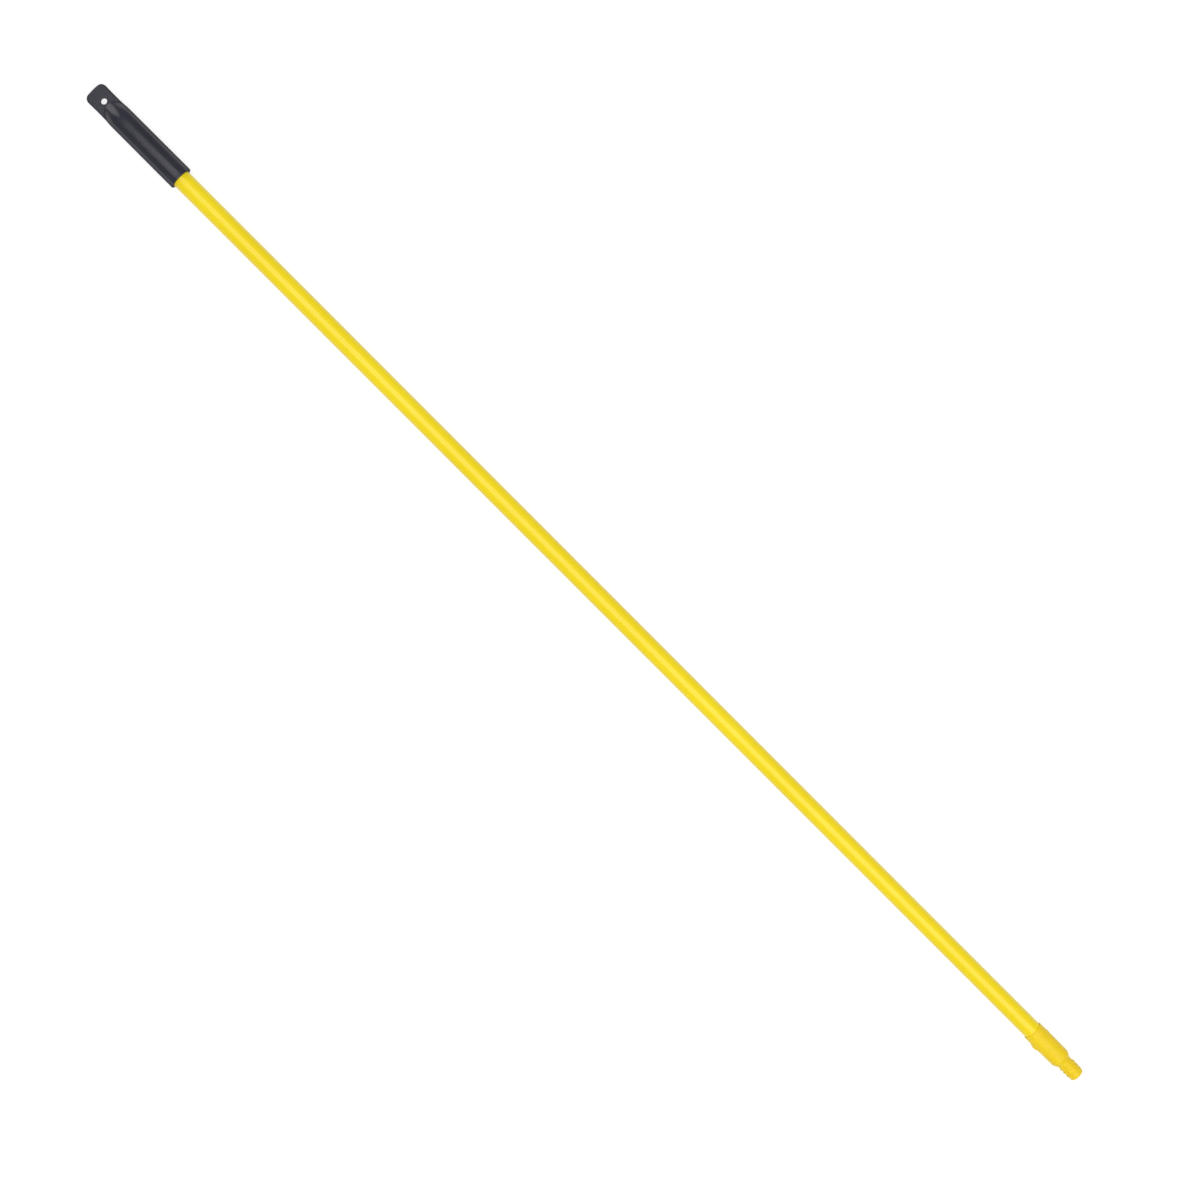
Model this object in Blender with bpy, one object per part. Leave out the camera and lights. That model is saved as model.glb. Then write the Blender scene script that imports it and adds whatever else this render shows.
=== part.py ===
"""Plastic-coated steel broom handle with a black hang-up grip and a screw-thread ferrule.

The handle lies along X on the ground at z = 0: the grip is at -X and the thread at +X.
Every piece is modelled about its own long axis and hung on one empty at the tube's centre.
Sizes are in metres.
"""

from math import cos, pi, radians, sin, sqrt, tau

import bmesh
import bpy
from mathutils import Vector

MM = 0.001

# The whole handle
HANDLE_LENGTH = 1524 * MM  # 60 in, end to end
SIDES = 32  # facets of each round piece, all at one phase, so nested pieces stay parallel
SHARP_ANGLE = radians(35)

# Tube: a thin steel core in a plastic coat
TUBE_OD = 21.3 * MM  # over the coat
COAT_WALL = 0.35 * MM
STEEL_WALL = 0.5 * MM
COAT_CLEARANCE = 0.05 * MM  # between the steel and its coat, on the radius
PRESS_CLEARANCE = 0.1 * MM  # between the coat and a moulded bore, on the radius
SEAT_GAP = 0.3 * MM  # between a tube end and the shoulder it stops at

# Hang-up grip, whose distances run from the tab's end towards the rim
GRIP_LENGTH = 132.4 * MM
GRIP_WALL = 3.05 * MM  # at the rim
GRIP_DRAFT = 0.15 * MM  # loss of radius from the rim to the slope
RIM_ROUND = 0.6 * MM
BORE_FLOOR = 1.5 * MM  # solid body between the slope and the bore
TAB_LENGTH = 21.3 * MM
TAB_THICKNESS = 5 * MM
TAB_EDGE = 1.6 * MM  # rounding along the tab's sides and over its end
TAB_CORNER = 6 * MM  # rounding of the tab's outline
TAB_NARROWING = 0.55 * MM  # tab's half-width under the body's radius
WAIST_NARROWING = 0.25 * MM  # a further pinch where the tab meets the slope
TAB_ROOT = 0.7 * MM  # how far the tab's slab runs into the full round body
SLOPE_LENGTH = 17 * MM  # where the body's round top and underside sink into the tab
SLOPE_SINK = 0.5 * MM  # how far under the tab's face they end
SLOPE_RINGS = 6
HANG_HOLE_D = 7 * MM
HANG_HOLE_LAND = 0.8 * MM  # flat left between the hole and the slope

# Threaded ferrule, whose distances run from the collar's mouth towards the tip
COLLAR_LENGTH = 44.5 * MM
CONE_LENGTH = 5.5 * MM
NOSE_LENGTH = 22.5 * MM
COLLAR_WALL = 1.0 * MM  # at the collar's thickest
COLLAR_SWELL = 0.15 * MM  # mouth and front of the collar fall short of its middle
MOUTH_ROUND = 0.25 * MM
SHOULDER_WALL = 4 * MM  # from the tube's stop to the start of the cone
NOSE_WALL = 2.6 * MM
TIP_WALL = 4 * MM
TIP_ROUND = 1.8 * MM

# Broom thread on the nose
THREAD_MAJOR_D = 18.4 * MM
THREAD_DEPTH = 0.85 * MM
THREAD_PITCH = 5.08 * MM
THREAD_RUNOUT = 0.18  # of a turn, at each end
THREAD_BEHIND_TIP = 4.2 * MM
THREAD_BEFORE_NECK = 2.55 * MM
RIDGE_BASE = 3.0 * MM
RIDGE_CREST = 1.1 * MM
ROWS_PER_PITCH = 8

# Snap tongues in the collar, and the windows that they lock into
TONGUE_WIDTH = 9 * MM
TONGUE_LENGTH = 6.5 * MM
TONGUE_TIP_FROM_MOUTH = 22 * MM
TONGUE_SLIT = 0.6 * MM
PEG_D = 4 * MM
PEG_BEHIND_TONGUE_TIP = 3 * MM
PEG_DEPTH = 1.2 * MM  # below the collar's bore
WINDOW_CLEARANCE = 0.5 * MM
PEG_SIDES = 20
HIGH_PAD = {"length": 12.6 * MM, "behind_tip": 0.0, "rise": 1.6 * MM, "peak": 0.45}
LOW_PAD = {"length": 7.4 * MM, "behind_tip": 4 * MM, "rise": 0.4 * MM, "peak": 0.1}
PAD_SINK = 0.35 * MM  # how far a pad's border lies inside the collar's wall
PAD_FOOT = 0.6 * MM  # depth of a pad's underside in the wall
PAD_STEPS = 10

# What follows from them
TUBE_RADIUS = TUBE_OD / 2
BORE_RADIUS = TUBE_RADIUS + PRESS_CLEARANCE
COAT_BORE_RADIUS = TUBE_RADIUS - COAT_WALL
STEEL_RADIUS = COAT_BORE_RADIUS - COAT_CLEARANCE
RIM_RADIUS = BORE_RADIUS + GRIP_WALL
BODY_RADIUS = RIM_RADIUS - GRIP_DRAFT
SLOPE_END = TAB_LENGTH + SLOPE_LENGTH
BORE_BOTTOM = SLOPE_END + BORE_FLOOR
HANG_HOLE_BEHIND_END = TAB_LENGTH - HANG_HOLE_LAND - HANG_HOLE_D / 2
COLLAR_RADIUS = BORE_RADIUS + COLLAR_WALL
COLLAR_END_RADIUS = COLLAR_RADIUS - COLLAR_SWELL
THREAD_ROOT_RADIUS = THREAD_MAJOR_D / 2 - THREAD_DEPTH
THREAD_LENGTH = NOSE_LENGTH - THREAD_BEHIND_TIP - THREAD_BEFORE_NECK
THREAD_TURNS = THREAD_LENGTH / THREAD_PITCH
CORE_RADIUS = THREAD_ROOT_RADIUS - NOSE_WALL
AXIS_HEIGHT = max(RIM_RADIUS, COLLAR_RADIUS) * cos(pi / SIDES)  # it lies on a facet

TAB_END_X = -HANDLE_LENGTH / 2
TIP_X = HANDLE_LENGTH / 2
NECK_X = TIP_X - NOSE_LENGTH
COLLAR_FRONT_X = NECK_X - CONE_LENGTH
MOUTH_X = COLLAR_FRONT_X - COLLAR_LENGTH
SHOULDER_X = COLLAR_FRONT_X - SHOULDER_WALL
TUBE_START_X = TAB_END_X + BORE_BOTTOM + SEAT_GAP
TUBE_END_X = SHOULDER_X - SEAT_GAP
TONGUE_TIP_X = MOUTH_X + TONGUE_TIP_FROM_MOUTH
PEG_X = TONGUE_TIP_X - PEG_BEHIND_TONGUE_TIP


def smoothstep(value):
    """0 below 0, 1 above 1, and a smooth rise between."""
    value = min(max(value, 0.0), 1.0)
    return value * value * (3 - 2 * value)


def rounded_section(half_width, half_height, corner):
    """Points of a rounded rectangle across the handle, or of a circle where all three are equal."""
    per_quarter = SIDES // 4
    points = []
    for quarter, (side_y, side_z) in enumerate(((1, 1), (-1, 1), (-1, -1), (1, -1))):
        for step in range(per_quarter):
            angle = (quarter + (step + 0.5) / per_quarter) * pi / 2
            y = side_y * (half_width - corner) + corner * cos(angle)
            z = side_z * (half_height - corner) + corner * sin(angle)
            points.append((y, z))
    return points


def ring_at(x, section):
    return [Vector((x, y, z)) for y, z in section]


def round_ring(x, radius):
    return ring_at(x, rounded_section(radius, radius, radius))


def plain_material(name, colour, roughness, metallic=0.0):
    material = bpy.data.materials.new(name)
    material.use_nodes = True
    shader = material.node_tree.nodes["Principled BSDF"]
    shader.inputs["Base Color"].default_value = (*colour, 1.0)
    shader.inputs["Roughness"].default_value = roughness
    shader.inputs["Metallic"].default_value = metallic
    return material


def place(name, bm, axis, material=None):
    """Turn a bmesh into an object on the handle's axis."""
    bmesh.ops.recalc_face_normals(bm, faces=bm.faces)
    mesh = bpy.data.meshes.new(name)
    bm.to_mesh(mesh)
    bm.free()
    mesh.shade_smooth()
    mesh.set_sharp_from_angle(angle=SHARP_ANGLE)
    if material:
        mesh.materials.append(material)
    piece = bpy.data.objects.new(name, mesh)
    piece.parent = axis
    bpy.context.scene.collection.objects.link(piece)
    return piece


def skin(rings, looped=False):
    """A closed body over rings of points: looped into a pipe, or capped at its first and last."""
    bm = bmesh.new()
    rows = [[bm.verts.new(point) for point in ring] for ring in rings]
    pairs = list(zip(rows, rows[1:]))
    if looped:
        pairs.append((rows[-1], rows[0]))
    for low, high in pairs:
        for index in range(len(low)):
            following = (index + 1) % len(low)
            bm.faces.new((low[index], low[following], high[following], high[index]))
    if not looped:
        bm.faces.new(rows[0])
        bm.faces.new(rows[-1])
    return bm


def add_rod(bm, start, end, radius, sides):
    """Add a plain rod between two points, used as a peg or a drill."""
    along = end - start
    matrix = along.to_track_quat("Z", "Y").to_matrix().to_4x4()
    matrix.translation = (start + end) / 2
    bmesh.ops.create_cone(
        bm,
        cap_ends=True,
        segments=sides,
        radius1=radius,
        radius2=radius,
        depth=along.length,
        matrix=matrix,
    )


def combine(piece, tool, operation):
    """Join a hidden tool to a piece, or cut the piece with it."""
    tool.hide_render = True
    tool.display_type = "WIRE"
    modifier = piece.modifiers.new(tool.name, "BOOLEAN")
    modifier.object = tool
    modifier.operation = operation
    modifier.solver = "EXACT"


def pipe(name, outer, inner, axis, material):
    """A length of tube, open at both ends."""
    rings = [
        round_ring(TUBE_START_X, outer),
        round_ring(TUBE_END_X, outer),
        round_ring(TUBE_END_X, inner),
        round_ring(TUBE_START_X, inner),
    ]
    return place(name, skin(rings, looped=True), axis, material)


def window_drill(axis):
    """One drill straight through both walls of the tube, for the pegs of the two tongues."""
    bm = bmesh.new()
    reach = Vector((0, 2 * TUBE_RADIUS, 0))
    centre = Vector((PEG_X, 0, 0))
    add_rod(bm, centre - reach, centre + reach, PEG_D / 2 + WINDOW_CLEARANCE, PEG_SIDES)
    return place("window_drill", bm, axis)


def make_tube(axis):
    steel = plain_material("galvanised_steel", (0.55, 0.56, 0.57), 0.35, 1.0)
    coat = plain_material("yellow_coat", (0.90, 0.66, 0.02), 0.3)
    drill = window_drill(axis)
    core = pipe("steel_tube", STEEL_RADIUS, STEEL_RADIUS - STEEL_WALL, axis, steel)
    combine(core, drill, "DIFFERENCE")
    sleeve = pipe("coating_sleeve", TUBE_RADIUS, COAT_BORE_RADIUS, axis, coat)
    combine(sleeve, drill, "DIFFERENCE")


def over_end(distance, rounding):
    """How far an edge has drawn in at a distance from the tab's end, on a quarter circle."""
    if distance >= rounding:
        return 0.0
    return rounding - sqrt(rounding**2 - (rounding - distance) ** 2)


def tab_ring(distance):
    """The flat slab's outline across, at a distance from the tab's end."""
    pinch = WAIST_NARROWING * smoothstep(distance / TAB_LENGTH)
    half_width = BODY_RADIUS - TAB_NARROWING - pinch - over_end(distance, TAB_CORNER)
    half_height = TAB_THICKNESS / 2 - over_end(distance, TAB_EDGE)
    corner = TAB_EDGE - over_end(distance, TAB_EDGE) / 2
    return ring_at(TAB_END_X + distance, rounded_section(half_width, half_height, corner))


def sloping_ring(share):
    """The body's outline on its slope: a circle at share 0, a low lens inside the tab at share 1.

    Its top and its underside keep the body's radius, and only come closer together.
    """
    drop = share * (BODY_RADIUS - TAB_THICKNESS / 2 + SLOPE_SINK)
    section = []
    for y, z in rounded_section(1, 1, 1):
        reach = sqrt(BODY_RADIUS**2 - (drop * y) ** 2) - drop * abs(z)
        section.append((reach * y, reach * z))
    return ring_at(TAB_END_X + SLOPE_END - share * SLOPE_LENGTH, section)


def quarter_steps(count):
    """Angles from 0 to a quarter turn, both ends included."""
    return [pi / 2 * step / count for step in range(count + 1)]


def hang_hole_drill(axis):
    bm = bmesh.new()
    centre = Vector((TAB_END_X + HANG_HOLE_BEHIND_END, 0, 0))
    reach = Vector((0, 0, TAB_THICKNESS))
    add_rod(bm, centre - reach, centre + reach, HANG_HOLE_D / 2, SIDES)
    return place("hang_hole_drill", bm, axis)


def tab_slab(axis):
    """The flat tab, whose root runs on inside the body's slope."""
    distances = [TAB_CORNER * (1 - sin(angle)) for angle in reversed(quarter_steps(5))]
    distances += [TAB_LENGTH * 0.5, TAB_LENGTH, SLOPE_END + TAB_ROOT]
    return place("tab_slab", skin([tab_ring(distance) for distance in distances]), axis)


def make_grip(axis):
    """Moulded cap: a blind bore for the tube, a slope, and a flat tab with a hole to hang it by."""
    black = plain_material("black_moulded_plastic", (0.027, 0.026, 0.039), 0.45)
    rim_x = TAB_END_X + GRIP_LENGTH
    rings = [
        round_ring(TAB_END_X + BORE_BOTTOM, BORE_RADIUS),
        round_ring(rim_x, BORE_RADIUS),
    ]
    for angle in quarter_steps(3):
        inset = RIM_ROUND * (1 - sin(angle))
        rings.append(round_ring(rim_x - RIM_ROUND * (1 - cos(angle)), RIM_RADIUS - inset))
    rings += [sloping_ring(ring / SLOPE_RINGS) for ring in range(SLOPE_RINGS + 1)]
    grip = place("hang_grip", skin(rings), axis, black)
    combine(grip, tab_slab(axis), "UNION")
    combine(grip, hang_hole_drill(axis), "DIFFERENCE")


def thread_height(angle, x):
    """Height of the screw ridge over its root: a right-hand helix with a run-out at each end."""
    pitches = (x - NECK_X - THREAD_BEFORE_NECK) / THREAD_PITCH
    turn = angle / tau + round(pitches - angle / tau)
    if not 0 < turn < THREAD_TURNS:
        return 0.0
    offset = abs(pitches - turn) * THREAD_PITCH
    flank = (RIDGE_BASE / 2 - offset) / (RIDGE_BASE / 2 - RIDGE_CREST / 2)
    runout = min(turn, THREAD_TURNS - turn) / THREAD_RUNOUT
    return THREAD_DEPTH * min(max(flank, 0.0), 1.0) * min(runout, 1.0)


def thread_ring(x):
    ring = []
    for index in range(SIDES):
        angle = (index + 0.5) / SIDES * tau
        radius = THREAD_ROOT_RADIUS + thread_height(angle, x)
        ring.append(Vector((x, radius * cos(angle), radius * sin(angle))))
    return ring


def ferrule_rings():
    """From the blind end of the core, out of the mouth and over the outside to the tip."""
    rings = [
        round_ring(TIP_X - TIP_WALL, CORE_RADIUS),
        round_ring(SHOULDER_X, CORE_RADIUS),
        round_ring(SHOULDER_X, BORE_RADIUS),
        round_ring(MOUTH_X, BORE_RADIUS),
        round_ring(MOUTH_X, COLLAR_END_RADIUS - MOUTH_ROUND),
        round_ring(MOUTH_X + MOUTH_ROUND, COLLAR_END_RADIUS),
        round_ring(MOUTH_X + COLLAR_LENGTH / 2, COLLAR_RADIUS),
        round_ring(COLLAR_FRONT_X, COLLAR_END_RADIUS),
        round_ring(NECK_X, THREAD_ROOT_RADIUS),
    ]
    threaded = NOSE_LENGTH - TIP_ROUND
    rows = round(threaded / THREAD_PITCH * ROWS_PER_PITCH)
    rings += [thread_ring(NECK_X + threaded * row / rows) for row in range(1, rows + 1)]
    for angle in quarter_steps(4)[1:]:
        x = TIP_X - TIP_ROUND * (1 - sin(angle))
        rings.append(round_ring(x, THREAD_ROOT_RADIUS - TIP_ROUND * (1 - cos(angle))))
    return rings


def pad_height(pad, along, across):
    """A pad's rise over the collar: 0 to 1 along it from the mouth side, -1 to 1 across it."""
    if along < pad["peak"]:
        ridge = sin(along / pad["peak"] * pi / 2)
    else:
        ridge = cos((along - pad["peak"]) / (1 - pad["peak"]) * pi / 2)
    return (pad["rise"] + PAD_SINK) * ridge * sqrt(max(1 - across**2, 0.0)) - PAD_SINK


def add_pad(bm, pad, side):
    """Add one pad, bent round the collar at +Y or -Y, with its foot inside the collar's wall."""
    half_angle = TONGUE_WIDTH / 2 / COLLAR_RADIUS
    end_x = TONGUE_TIP_X - pad["behind_tip"]
    layers = ([], [])
    for step in range(PAD_STEPS + 1):
        along = step / PAD_STEPS
        x = end_x - pad["length"] * (1 - along)
        for layer in layers:
            layer.append([])
        for turn in range(PAD_STEPS + 1):
            across = 2 * turn / PAD_STEPS - 1
            angle = across * half_angle
            outer = COLLAR_RADIUS + pad_height(pad, along, across)
            for layer, radius in zip(layers, (outer, COLLAR_RADIUS - PAD_FOOT)):
                point = Vector((x, side * radius * cos(angle), radius * sin(angle)))
                layer[-1].append(bm.verts.new(point))
    top, foot = layers
    for layer in layers:
        for row, after in zip(layer, layer[1:]):
            for index in range(PAD_STEPS):
                bm.faces.new((row[index], row[index + 1], after[index + 1], after[index]))
    borders = (
        ([row[0] for row in top], [row[0] for row in foot]),
        ([row[-1] for row in top], [row[-1] for row in foot]),
        (top[0], foot[0]),
        (top[-1], foot[-1]),
    )
    for upper, lower in borders:
        for index in range(PAD_STEPS):
            bm.faces.new((upper[index], upper[index + 1], lower[index + 1], lower[index]))


def tongue_growths(axis):
    """What stands out of the tongues: a pad outside and a locking peg inside, on each."""
    bm = bmesh.new()
    for pad, side in ((HIGH_PAD, -1), (LOW_PAD, 1)):
        add_pad(bm, pad, side)
        root = Vector((PEG_X, side * (BORE_RADIUS + COLLAR_WALL / 4), 0))
        end = Vector((PEG_X, side * (BORE_RADIUS - PEG_DEPTH), 0))
        add_rod(bm, root, end, PEG_D / 2, PEG_SIDES)
    return place("tongue_growths", bm, axis)


def slit_cutter(axis):
    """A U-shaped slit through the collar round each tongue, closed at its tip."""
    root_x = TONGUE_TIP_X - TONGUE_LENGTH
    far_x = TONGUE_TIP_X + TONGUE_SLIT
    inner = TONGUE_WIDTH / 2
    outer = inner + TONGUE_SLIT
    outline = (
        (root_x, -outer),
        (far_x, -outer),
        (far_x, outer),
        (root_x, outer),
        (root_x, inner),
        (TONGUE_TIP_X, inner),
        (TONGUE_TIP_X, -inner),
        (root_x, -inner),
    )
    bm = bmesh.new()
    for side in (-1, 1):
        near = side * STEEL_RADIUS * cos(TONGUE_WIDTH / STEEL_RADIUS)
        verts = [bm.verts.new((x, near, z)) for x, z in outline]
        face = bm.faces.new(verts)
        grown = bmesh.ops.extrude_face_region(bm, geom=[face])["geom"]
        away = Vector((0, side * 2 * TUBE_RADIUS, 0))
        moved = [item for item in grown if isinstance(item, bmesh.types.BMVert)]
        bmesh.ops.translate(bm, verts=moved, vec=away)
    return place("slit_cutter", bm, axis)


def make_ferrule(axis):
    """Moulded end: a collar over the tube, two snap tongues, and a hollow threaded nose."""
    nylon = plain_material("yellow_moulded_nylon", (0.84, 0.62, 0.015), 0.5)
    ferrule = place("threaded_ferrule", skin(ferrule_rings()), axis, nylon)
    combine(ferrule, tongue_growths(axis), "UNION")
    combine(ferrule, slit_cutter(axis), "DIFFERENCE")


def main():
    for old in list(bpy.data.objects):
        bpy.data.objects.remove(old, do_unlink=True)
    axis = bpy.data.objects.new("handle_axis", None)
    axis.location = (0, 0, AXIS_HEIGHT)
    bpy.context.scene.collection.objects.link(axis)
    make_tube(axis)
    make_grip(axis)
    make_ferrule(axis)


main()
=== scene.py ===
from math import cos, hypot, pi, radians, sin, sqrt, tau

import bmesh
import bpy
from mathutils import Matrix, Vector


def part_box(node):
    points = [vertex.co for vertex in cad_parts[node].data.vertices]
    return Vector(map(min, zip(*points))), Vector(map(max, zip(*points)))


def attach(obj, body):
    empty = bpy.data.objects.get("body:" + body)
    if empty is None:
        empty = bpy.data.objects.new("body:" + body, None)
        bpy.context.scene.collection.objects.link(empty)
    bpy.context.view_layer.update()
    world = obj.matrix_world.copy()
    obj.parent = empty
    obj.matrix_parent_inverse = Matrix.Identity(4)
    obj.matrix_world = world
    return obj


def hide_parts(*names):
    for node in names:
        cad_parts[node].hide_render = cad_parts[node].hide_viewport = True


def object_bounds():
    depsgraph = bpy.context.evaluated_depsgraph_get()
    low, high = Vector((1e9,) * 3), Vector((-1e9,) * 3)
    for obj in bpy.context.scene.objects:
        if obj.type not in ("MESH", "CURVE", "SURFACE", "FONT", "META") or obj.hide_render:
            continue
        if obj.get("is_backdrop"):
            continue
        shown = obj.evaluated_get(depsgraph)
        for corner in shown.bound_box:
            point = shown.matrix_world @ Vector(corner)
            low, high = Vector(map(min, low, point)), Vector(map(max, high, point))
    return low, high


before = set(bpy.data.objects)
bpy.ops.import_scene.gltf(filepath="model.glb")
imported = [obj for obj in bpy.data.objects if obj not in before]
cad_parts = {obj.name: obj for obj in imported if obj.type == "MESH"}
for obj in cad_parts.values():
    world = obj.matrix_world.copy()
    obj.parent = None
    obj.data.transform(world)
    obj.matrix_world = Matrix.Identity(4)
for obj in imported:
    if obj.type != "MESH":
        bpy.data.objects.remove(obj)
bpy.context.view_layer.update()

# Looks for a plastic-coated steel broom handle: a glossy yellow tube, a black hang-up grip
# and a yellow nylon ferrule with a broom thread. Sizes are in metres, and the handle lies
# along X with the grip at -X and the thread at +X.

MM = 0.001
SHARP_ANGLE = radians(38)  # a sharper corner is drawn as an edge, a flatter one as a smooth turn

# Places that the frame gives
sleeve_low, sleeve_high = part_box("coating_sleeve")
grip_low, grip_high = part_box("hang_grip")
ferrule_low, ferrule_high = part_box("threaded_ferrule")
CAD_FACETS = 32
ACROSS_FLATS = cos(pi / CAD_FACETS)  # a facet's distance over a corner's, in the CAD solids

AXIS_HEIGHT = (sleeve_low.z + sleeve_high.z) / 2
TUBE_RADIUS = (sleeve_high.z - sleeve_low.z) / 2 / ACROSS_FLATS
TUBE_START_X = sleeve_low.x
TUBE_END_X = sleeve_high.x
TAB_END_X = grip_low.x
RIM_X = grip_high.x
RIM_RADIUS = (grip_high.z - grip_low.z) / 2 / ACROSS_FLATS
MOUTH_X = ferrule_low.x
TIP_X = ferrule_high.x

# Tube
TUBE_AROUND = 128
TUBE_ROWS = 150
COAT_WALL = 0.35 * MM
COAT_CHAMFER = 0.12 * MM
PRESS_CLEARANCE = 0.1 * MM  # gap all round between the tube and the mouldings pressed over it

# Hang-up grip, whose distances run from the tab's end towards the rim
GRIP_AROUND = 320
GRIP_LENGTH = RIM_X - TAB_END_X
GRIP_DRAFT = 0.15 * MM
RIM_ROUND = 0.6 * MM
BORE_FLOOR = 1.5 * MM  # from the slope's end to the bottom of the bore
BORE_CHAMFER = 0.7 * MM
BORE_FILLET = 1.2 * MM
TAB_LENGTH = 21.3 * MM
TAB_THICKNESS = 5 * MM
TAB_EDGE = 1.6 * MM  # rounding of the edges of its faces
TAB_CORNER = 6 * MM  # rounding of its two corners, seen from above
TAB_END_BOW = 1.0 * MM  # how far the tab's corners fall back from its middle
TAB_NARROWING = 0.55 * MM  # on each side, from the body's width
WAIST_NARROWING = 0.25 * MM  # more of the same where the tab runs into the slope
SLOPE_LENGTH = 17 * MM
SLOPE_SINK = 0.5 * MM  # how far under the tab's face the slope starts
SLOPE_CREASE = 0.6 * MM  # softness of the crease where the slope rises out of the tab
SLOPE_SHOULDER = 0.3  # softness of the turn from the slope to the body, as a share of its length
HANG_HOLE_D = 7 * MM
HANG_HOLE_LAND = 0.8 * MM  # between the hole and the slope
HANG_HOLE_EDGE = 0.5 * MM  # rounding of the hole's rim
HANG_HOLE_AROUND = 96
MOULD_LINE = 0.05 * MM  # height of the seam that the two mould halves leave
SIDE_CROWDING = 0.55  # how much closer the grip's points are at its sides
CREASE_LEAD = 1 * MM  # the slope's close rings start this much before the tab ends
SLOPE_LEAD = 10 * MM  # and the body's close rings end this much past the slope

# Threaded ferrule, whose distances run from the collar's mouth towards the tip
FERRULE_AROUND = 192
COLLAR_LENGTH = 44.5 * MM
CONE_LENGTH = 5.5 * MM
NOSE_LENGTH = 22.5 * MM
COLLAR_WALL = 1.0 * MM
COLLAR_SWELL = 0.15 * MM  # how much fuller the collar is at its middle
MOUTH_ROUND = 0.25 * MM
CONE_BLEND = 0.9 * MM  # rounding where the collar turns into the cone
NECK_BEAD = 0.3 * MM  # a small step all round, where the cone ends
BEAD_HOLLOW = 0.7 * MM  # length of the hollow in front of it
SHOULDER_WALL = 4 * MM
NOSE_WALL = 2.6 * MM
TIP_WALL = 4 * MM
TIP_ROUND = 1.8 * MM
CORE_CORNER = 0.8 * MM  # chamfer at the blind end of the hollow core
GATE_RADIUS = 1.7 * MM  # the dimple that the moulding gate leaves in the tip
GATE_DEPTH = 0.25 * MM
GATE_EDGE = 0.15 * MM  # easing of the dimple's rim
GATE_STUB = 0.6 * MM  # radius of the broken-off stub in the dimple

# Broom thread
THREAD_MAJOR_D = 18.4 * MM
THREAD_DEPTH = 0.85 * MM
THREAD_PITCH = 5.08 * MM
THREAD_RUNOUT = 0.18  # turns over which the ridge fades at each end
THREAD_BEHIND_TIP = 4.2 * MM
THREAD_BEFORE_NECK = 2.55 * MM
RIDGE_BASE = 3.0 * MM
RIDGE_CREST = 1.1 * MM
THREAD_ROW = 0.24 * MM  # spacing of the rows of points that draw the ridge

# Snap tongues and the windows that their pegs lock into
TONGUE_WIDTH = 9 * MM
TONGUE_LENGTH = 6.5 * MM
TONGUE_TIP_FROM_MOUTH = 22 * MM
TONGUE_SLIT = 0.6 * MM
PEG_D = 4 * MM
PEG_BEHIND_TONGUE_TIP = 3 * MM
PEG_DEPTH = 1.2 * MM
PEG_ROUND = 0.4 * MM
WINDOW_CLEARANCE = 0.5 * MM
PEG_AROUND = 40

# The domed pads on the tongues: peak is where along it a pad is highest, from the mouth side
HIGH_PAD = {"length": 12.6 * MM, "behind_tip": 0.0, "rise": 1.6 * MM, "peak": 0.45}
LOW_PAD = {"length": 7.4 * MM, "behind_tip": 4 * MM, "rise": 0.4 * MM, "peak": 0.1}
PAD_SINK = 0.35 * MM  # how far the dome's border lies inside the collar
PAD_FOOT = 0.6 * MM  # how far the pad's underside lies inside it
PAD_STEPS = 36

# What follows from them
BORE_RADIUS = TUBE_RADIUS + PRESS_CLEARANCE
COAT_BORE_RADIUS = TUBE_RADIUS - COAT_WALL
BODY_RADIUS = RIM_RADIUS - GRIP_DRAFT
SLOPE_END = TAB_LENGTH + SLOPE_LENGTH
BORE_BOTTOM = SLOPE_END + BORE_FLOOR
HANG_HOLE_X = TAB_END_X + TAB_LENGTH - HANG_HOLE_LAND - HANG_HOLE_D / 2
COLLAR_RADIUS = BORE_RADIUS + COLLAR_WALL
COLLAR_END_RADIUS = COLLAR_RADIUS - COLLAR_SWELL
THREAD_ROOT_RADIUS = THREAD_MAJOR_D / 2 - THREAD_DEPTH
THREAD_TURNS = (NOSE_LENGTH - THREAD_BEHIND_TIP - THREAD_BEFORE_NECK) / THREAD_PITCH
CORE_RADIUS = THREAD_ROOT_RADIUS - NOSE_WALL
NECK_X = TIP_X - NOSE_LENGTH
COLLAR_FRONT_X = NECK_X - CONE_LENGTH
SHOULDER_X = COLLAR_FRONT_X - SHOULDER_WALL
TONGUE_TIP_X = MOUTH_X + TONGUE_TIP_FROM_MOUTH
PEG_X = TONGUE_TIP_X - PEG_BEHIND_TONGUE_TIP

# Camera: nearly overhead, with the handle across the frame's diagonal
CAMERA_DISTANCE = 2.4
CAMERA_LEAN = radians(3.5)  # towards the grip, which is the nearer end
CAMERA_ROLL = radians(45.017)
CAMERA_AIM = (0.0102, -0.0018)  # along X and Y, from the handle's middle
CAMERA_LENS = 65.87
SENSOR_WIDTH = 36.0
CAMERA_REACH = 100.0

# Light
SOFTBOX_HEIGHT = 3.0
SOFTBOX_START_X = -1.34  # short of what the tab's flat face mirrors, so that it stays dark
SOFTBOX_END_X = 3.0
SOFTBOX_WIDTH = 3.2
SOFTBOX_SHIFT = 0.3  # towards -Y
SOFTBOX_RADIANCE = 2.45
PANEL_X = -2.4  # a standing panel beyond the grip, which lights the grip's slope
PANEL_WIDTH = 1.0
PANEL_HEIGHT = 2.9
PANEL_FOOT = 0.1
PANEL_RADIANCE = 1.7
SKY_RADIANCE = 0.35
TABLE_GLOW = 0.78
FLOOR_REACH = 15.0
FLOOR_CELLS = 6
FLOOR_GAP = 0.05 * MM


def smoothstep(value):
    """0 below 0, 1 above 1, and a smooth rise between."""
    value = min(max(value, 0.0), 1.0)
    return value * value * (3 - 2 * value)


def mix(start, end, share):
    """The value a share of the way from start to end."""
    return start + (end - start) * share


def steps(start, end, count):
    """Evenly spaced values, both ends included."""
    return [mix(start, end, index / count) for index in range(count + 1)]


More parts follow.
